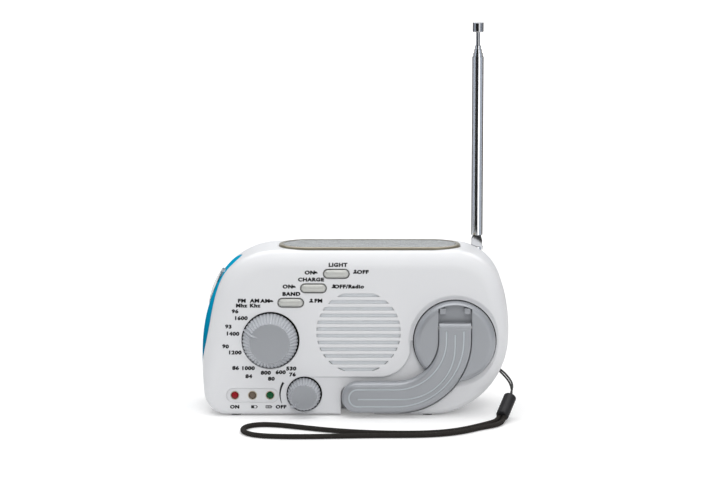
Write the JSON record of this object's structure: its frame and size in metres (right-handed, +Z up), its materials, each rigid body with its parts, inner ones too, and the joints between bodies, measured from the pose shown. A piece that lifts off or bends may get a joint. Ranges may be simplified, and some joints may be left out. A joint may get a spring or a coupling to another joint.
{
  "type": "emergency radio",
  "caption": "Hand-cranked and solar emergency radio with a folding crank, round speaker grille, end torch, telescopic antenna and a wrist strap.",
  "frame": {"origin": "on the table, under the middle of the radio's width and depth", "axes": "+X to the right seen from the front, +Y to the back, +Z up"},
  "size_m": [0.1606, 0.1021, 0.1984],
  "materials": {
    "housing_plastic": "fine matt silver-grey paint on plastic",
    "insert_plastic": "satin blue plastic",
    "clear_plastic": "clear polished plastic",
    "reflector": "bright vacuum plating",
    "circuit_board": "solder mask",
    "solar_cells": "dark cells under resin",
    "bezel_plastic": "satin silver plastic",
    "speaker_fabric": "fine grey speaker cloth",
    "steel": "plated steel",
    "cone_paper": "pressed paper",
    "magnet": "plain ferrite",
    "white_plastic": "plain nylon",
    "black_plastic": "plain moulded",
    "knob_plastic": "satin silver-grey paint on plastic",
    "button_plastic": "satin silver paint on plastic",
    "crank_plastic": "satin grey plastic",
    "ferrite": "plain ferrite",
    "battery_wrap": "shrink wrap",
    "red_lens": "tinted clear plastic",
    "clear_lens": "smoky clear plastic",
    "green_lens": "tinted clear plastic",
    "chrome": "bright chrome plate",
    "rubber": "soft matt rubber",
    "strap_cord": "fine braid",
    "ferrule_plastic": "satin moulded"
  },
  "bodies": {
    "housing": {"front_shell": "housing_plastic", "rear_shell": "housing_plastic", "torch_insert": "insert_plastic", "torch_lens": "clear_plastic", "torch_reflector": "reflector", "torch_led": "circuit_board", "solar_bezel": "bezel_plastic", "solar_cover": "clear_plastic", "solar_panel": "solar_cells", "speaker_cloth": "speaker_fabric", "speaker_frame": "steel", "speaker_cone": "cone_paper", "speaker_magnet": "magnet", "main_board": "circuit_board", "tuning_capacitor": "white_plastic", "volume_pot": "steel", "push_switches": "black_plastic", "lamp_red": "red_lens", "lamp_clear": "clear_lens", "lamp_green": "green_lens", "ferrite_rod": "ferrite", "battery_pack": "battery_wrap", "battery_contacts": "steel", "output_jack": "black_plastic", "gearbox_frame": "steel", "gearbox_cover": "steel", "generator_stator": "steel", "housing_screws": "steel", "gearbox_screws": "steel", "board_screws": "steel", "feet": "rubber", "strap_string": "strap_cord", "strap_ferrule": "ferrule_plastic", "strap_braid": "strap_cord"},
    "tuning": {"tuning_knob": "knob_plastic", "tuning_shaft": "white_plastic"},
    "volume": {"volume_knob": "knob_plastic", "volume_shaft": "white_plastic"},
    "light": {"light_button": "button_plastic"},
    "charge": {"charge_button": "button_plastic"},
    "band": {"band_button": "button_plastic"},
    "crank": {"crank_disc": "crank_plastic", "hinge_pin": "steel", "crank_shaft": "steel", "drive_gear": "white_plastic"},
    "arm": {"crank_arm": "crank_plastic"},
    "cup": {"crank_grip": "crank_plastic"},
    "idler": {"idler_gear": "white_plastic"},
    "rotor": {"generator_rotor": "magnet"},
    "swivel": {"antenna_base": "chrome", "antenna_rivet": "chrome", "antenna_clip": "steel"},
    "section_1": {"antenna_tube_1": "chrome"},
    "section_2": {"antenna_tube_2": "chrome"},
    "section_3": {"antenna_tube_3": "chrome"},
    "section_4": {"antenna_tube_4": "chrome"},
    "section_5": {"antenna_rod": "chrome"},
    "door": {"battery_door": "housing_plastic"}
  },
  "joints": [
    {"name": "tuning_turn", "type": "hinge", "parent": "housing", "child": "tuning", "pos_m": [-0.0433, -0.028, 0.0392], "axis": [0, -1, 0], "range_deg": [-35, 140]},
    {"name": "volume_turn", "type": "hinge", "parent": "housing", "child": "volume", "pos_m": [-0.0261, -0.028, 0.0114], "axis": [0, -1, 0], "range_deg": [-285, 0]},
    {"name": "light_press", "type": "slide", "parent": "housing", "child": "light", "axis": [0, 1, 0], "range_m": [0, 0.0022], "stiffness_N_per_m": 300},
    {"name": "charge_press", "type": "slide", "parent": "housing", "child": "charge", "axis": [0, 1, 0], "range_m": [0, 0.0022], "stiffness_N_per_m": 300},
    {"name": "band_press", "type": "slide", "parent": "housing", "child": "band", "axis": [0, 1, 0], "range_m": [0, 0.0022], "stiffness_N_per_m": 300},
    {"name": "crank_spin", "type": "hinge", "parent": "housing", "child": "crank", "pos_m": [0.0508, -0.02, 0.0391], "axis": [0, -1, 0], "continuous": true, "deforming": ["strap_string", "strap_ferrule", "strap_braid"]},
    {"name": "crank_fold", "type": "hinge", "parent": "crank", "child": "arm", "pos_m": [0.0508, -0.024, 0.04685], "axis": [-1, 0, 0], "range_deg": [0, 152]},
    {"name": "cup_spin", "type": "hinge", "parent": "arm", "child": "cup", "pos_m": [0.0013, -0.022, 0.0107], "axis": [0, 1, 0], "continuous": true},
    {"name": "idler_spin", "type": "hinge", "parent": "housing", "child": "idler", "pos_m": [0.0508, -0.01, 0.0607], "axis": [0, -1, 0], "continuous": true},
    {"name": "rotor_spin", "type": "hinge", "parent": "housing", "child": "rotor", "pos_m": [0.03659, 0, 0.05589], "axis": [0, -1, 0], "continuous": true},
    {"name": "antenna_swivel", "type": "hinge", "parent": "housing", "child": "swivel", "pos_m": [0.0636, 0.0234, 0.08], "axis": [0, 0, -1], "range_deg": [0, 180]},
    {"name": "antenna_tilt", "type": "hinge", "parent": "swivel", "child": "section_1", "pos_m": [0.0636, 0.0234, 0.0848], "axis": [0, -1, 0], "range_deg": [0, 90]},
    {"name": "antenna_draw_2", "type": "slide", "parent": "section_1", "child": "section_2", "axis": [0, 0, 1], "range_m": [0, 0.08]},
    {"name": "antenna_draw_3", "type": "slide", "parent": "section_2", "child": "section_3", "axis": [0, 0, 1], "range_m": [0, 0.077]},
    {"name": "antenna_draw_4", "type": "slide", "parent": "section_3", "child": "section_4", "axis": [0, 0, 1], "range_m": [0, 0.074]},
    {"name": "antenna_draw_5", "type": "slide", "parent": "section_4", "child": "section_5", "axis": [0, 0, 1], "range_m": [0, 0.07]},
    {"name": "door_lift", "type": "slide", "parent": "housing", "child": "door", "axis": [0, 1, 0], "range_m": [0, 0.02]}
  ],
  "couplings": [
    {"joint": "idler_spin", "follows": "crank_spin", "ratio": -5},
    {"joint": "rotor_spin", "follows": "crank_spin", "ratio": 20}
  ]
}
